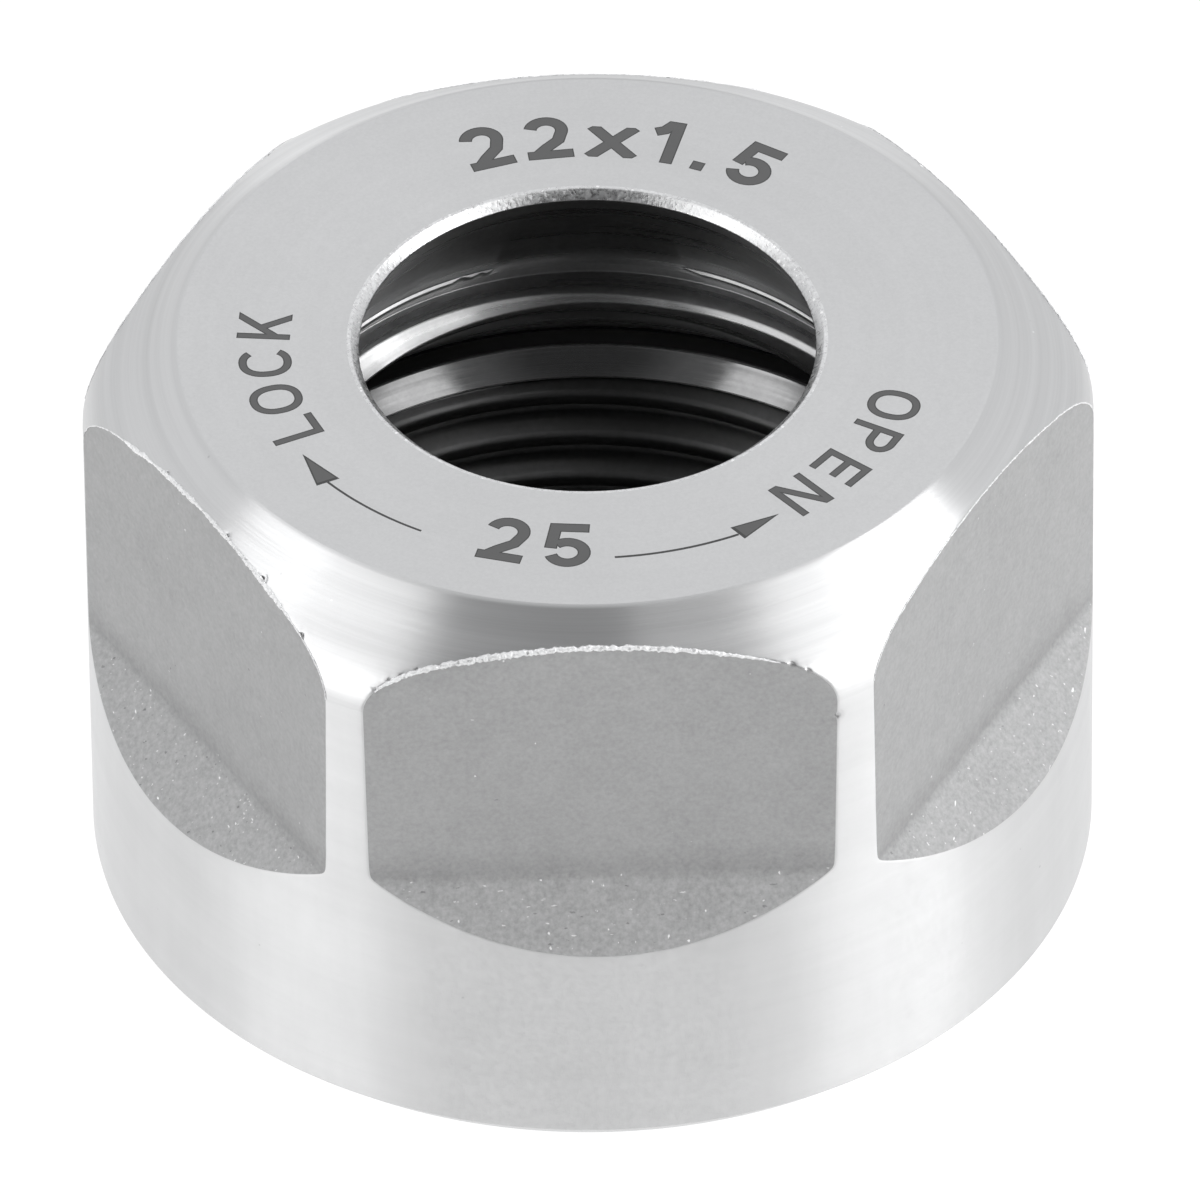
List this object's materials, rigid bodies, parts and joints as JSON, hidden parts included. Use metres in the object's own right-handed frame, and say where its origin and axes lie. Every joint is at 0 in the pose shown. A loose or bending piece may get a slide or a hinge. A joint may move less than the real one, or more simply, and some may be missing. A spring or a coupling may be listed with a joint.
{
  "type": "collet nut",
  "caption": "Turned steel collet nut with milled spanner flats, a tapered collet seat, an eccentric extraction ring and an internal thread.",
  "frame": {"origin": "centre of the rear face, on the thread axis, where the nut stands", "axes": "+Z along the thread axis from the rear face to the front face, -Y out of the first spanner flat"},
  "size_m": [0.028, 0.028, 0.0175],
  "materials": {
    "nut_steel": "satin turned steel with milled flats"
  },
  "bodies": {
    "root": {"collet_nut": "nut_steel"}
  },
  "joints": []
}
